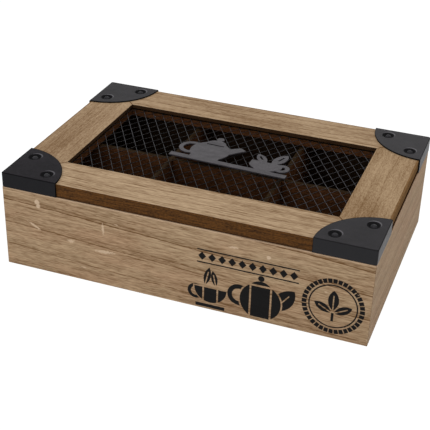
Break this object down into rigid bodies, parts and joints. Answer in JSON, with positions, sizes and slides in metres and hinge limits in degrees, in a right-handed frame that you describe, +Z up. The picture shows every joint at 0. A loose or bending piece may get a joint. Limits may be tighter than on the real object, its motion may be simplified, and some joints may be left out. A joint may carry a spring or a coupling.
{
  "type": "tea bag organizer box",
  "caption": "Wooden tea bag box with compartments and a hinged lid with a wire mesh window, a cut-out badge and corner brackets.",
  "frame": {"origin": "middle of the box's underside, on the surface it rests on", "axes": "+X to the right along the box's length, +Y from the front to the hinges at the back, +Z up"},
  "size_m": [0.2404, 0.1657, 0.0664],
  "materials": {
    "box_wood": "weathered natural wood, matt, with a long fine grain",
    "stained_wood": "dark brown stain, matt",
    "black_steel": "satin charcoal paint on pressed sheet steel",
    "badge_steel": "satin grey paint on sheet steel",
    "mesh_wire": "bright galvanised wire",
    "bright_steel": "zinc-plated steel"
  },
  "bodies": {
    "box": {"front_panel": "box_wood", "back_panel": "box_wood", "left_panel": "box_wood", "right_panel": "box_wood", "base_panel": "stained_wood", "base_brads": "bright_steel", "long_divider": "stained_wood", "left_divider": "stained_wood", "right_divider": "stained_wood", "left_hinge_body_leaf": "bright_steel", "right_hinge_body_leaf": "bright_steel", "left_hinge_pin": "bright_steel", "right_hinge_pin": "bright_steel", "hinge_body_screws": "bright_steel"},
    "lid": {"lid_front_rail": "box_wood", "lid_back_rail": "box_wood", "lid_left_rail": "box_wood", "lid_right_rail": "box_wood", "mesh_front_strip": "stained_wood", "mesh_back_strip": "stained_wood", "mesh_left_strip": "stained_wood", "mesh_right_strip": "stained_wood", "mesh_strip_brads": "bright_steel", "mesh_rising_wires": "mesh_wire", "mesh_falling_wires": "mesh_wire", "badge_plate": "badge_steel", "front_left_bracket": "black_steel", "front_right_bracket": "black_steel", "back_left_bracket": "black_steel", "back_right_bracket": "black_steel", "bracket_nails": "black_steel", "left_hinge_lid_leaf": "bright_steel", "right_hinge_lid_leaf": "bright_steel", "hinge_lid_screws": "bright_steel"}
  },
  "joints": [
    {"name": "lid_hinge", "type": "hinge", "parent": "box", "child": "lid", "pos_m": [0, 0.0819, 0.0562], "axis": [-1, 0, 0], "range_deg": [0, 105]}
  ]
}
